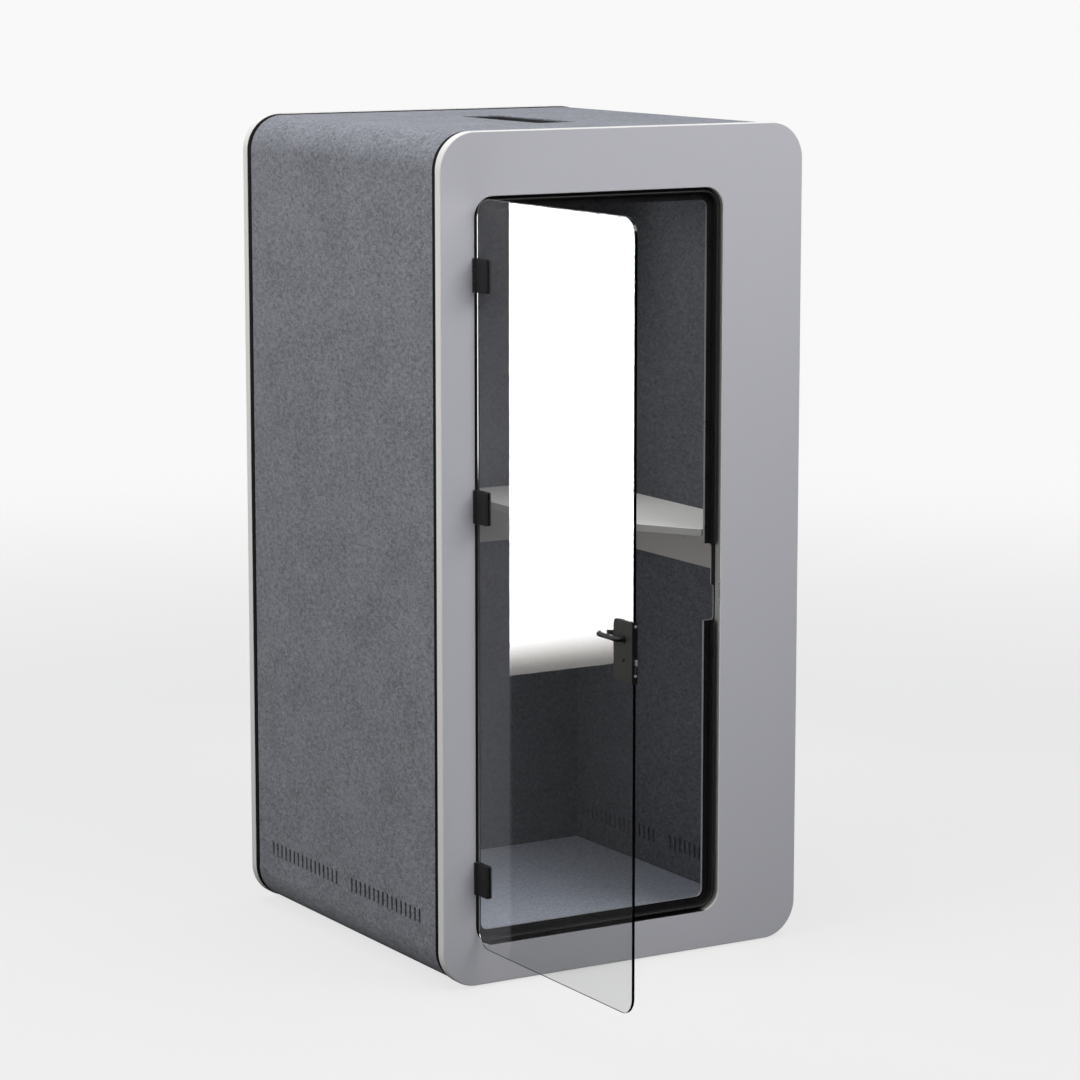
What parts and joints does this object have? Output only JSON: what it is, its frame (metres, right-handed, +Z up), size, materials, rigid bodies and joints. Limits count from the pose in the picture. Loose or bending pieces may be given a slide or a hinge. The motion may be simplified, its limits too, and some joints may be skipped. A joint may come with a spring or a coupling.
{
  "type": "acoustic office pod",
  "caption": "Single-person acoustic office pod with rounded front and rear panels, felt shell and lining, standing-height desk and a frameless glass door with lever lock.",
  "frame": {"origin": "on the floor, in the middle of the pod's body, halfway between its four levelling feet", "axes": "+X to the right and +Y to the back as seen from the door side, +Z up; the glass door stands open along -Y from the left edge of the doorway"},
  "size_m": [1.094, 1.8622, 2.206],
  "materials": {
    "board_white": "satin",
    "laminate_grey": "matte",
    "felt_outer": "matte",
    "carcass_wood": "matte",
    "core": "matte",
    "felt_inner": "matte",
    "carpet": "matte",
    "black_metal": "satin",
    "rubber": "matte",
    "desk_laminate": "satin",
    "cleat_paint": "matte",
    "steel": "satin",
    "glass": "gloss",
    "black_plastic": "matte",
    "lock_black": "satin",
    "white_plastic": "satin",
    "diffuser": "matte"
  },
  "bodies": {
    "pod": {"front_board": "board_white", "front_laminate": "laminate_grey", "rear_board": "board_white", "rear_laminate": "laminate_grey", "front_spacer": "black_plastic", "rear_spacer": "black_plastic", "outer_felt": "felt_outer", "carcass_shell": "carcass_wood", "acoustic_core": "core", "rear_core": "core", "front_core": "core", "lining_left": "felt_inner", "lining_right": "felt_inner", "lining_rear": "felt_inner", "lining_front": "felt_inner", "lining_ceiling": "felt_inner", "floor_deck": "carcass_wood", "carpet": "carpet", "levelling_feet": "black_plastic", "door_frame": "black_metal", "door_seal": "rubber", "strike_plate": "steel", "strike_screws": "steel", "desk_top": "desk_laminate", "desk_side_cleat": "cleat_paint", "desk_rear_cleat": "cleat_paint", "cleat_screws": "steel", "roof_tray": "black_metal", "fan_frame_front": "black_plastic", "fan_frame_rear": "black_plastic", "ceiling_light": "white_plastic", "light_diffuser": "diffuser", "hinge_leaf_low": "black_metal", "hinge_leaf_mid": "black_metal", "hinge_leaf_top": "black_metal", "hinge_pins": "steel", "leaf_screws": "steel"},
    "door": {"glass_door": "glass", "hinge_outer_low": "black_metal", "hinge_outer_mid": "black_metal", "hinge_outer_top": "black_metal", "hinge_inner_low": "black_metal", "hinge_inner_mid": "black_metal", "hinge_inner_top": "black_metal", "hinge_pads": "rubber", "hinge_screws": "black_metal", "lock_body": "black_metal", "lock_outer_cover": "lock_black", "lock_inner_cover": "lock_black", "forend": "lock_black", "forend_screws": "steel"},
    "lever": {"lever_spindle": "steel", "outer_lever": "black_metal", "inner_lever": "black_metal"},
    "key_turn": {"key_cylinder": "steel", "thumb_turn": "black_metal"},
    "latch": {"latch_bolt": "steel"},
    "dead_bolt": {"dead_bolt": "steel"},
    "fan_front": {"fan_rotor_front": "black_plastic"},
    "fan_rear": {"fan_rotor_rear": "black_plastic"}
  },
  "joints": [
    {"name": "door_swing", "type": "hinge", "parent": "pod", "child": "door", "pos_m": [-0.45, -0.554, 0], "axis": [0, 0, 1], "range_deg": [-20, 90]},
    {"name": "lever_turn", "type": "hinge", "parent": "door", "child": "lever", "pos_m": [-0.44, -1.2614, 1.036], "axis": [-1, 0, 0], "range_deg": [0, 40], "stiffness_Nm_per_rad": 1, "springref_deg": -28.65},
    {"name": "latch_slide", "type": "slide", "parent": "door", "child": "latch", "axis": [0, 1, 0], "range_m": [0, 0.009]},
    {"name": "key_turn", "type": "hinge", "parent": "door", "child": "key_turn", "pos_m": [-0.44, -1.2614, 0.985], "axis": [1, 0, 0], "range_deg": [0, 90]},
    {"name": "dead_bolt_slide", "type": "slide", "parent": "door", "child": "dead_bolt", "axis": [0, -1, 0], "range_m": [0, 0.0099]},
    {"name": "fan_front_spin", "type": "hinge", "parent": "pod", "child": "fan_front", "pos_m": [-0.01, -0.125, 2.15], "axis": [0, 0, 1], "continuous": true},
    {"name": "fan_rear_spin", "type": "hinge", "parent": "pod", "child": "fan_rear", "pos_m": [-0.01, 0.085, 2.15], "axis": [0, 0, 1], "continuous": true}
  ],
  "couplings": [
    {"joint": "latch_slide", "follows": "lever_turn", "m_per_rad": 0.0125},
    {"joint": "key_turn", "follows": "dead_bolt_slide", "rad_per_m": 158.6}
  ]
}
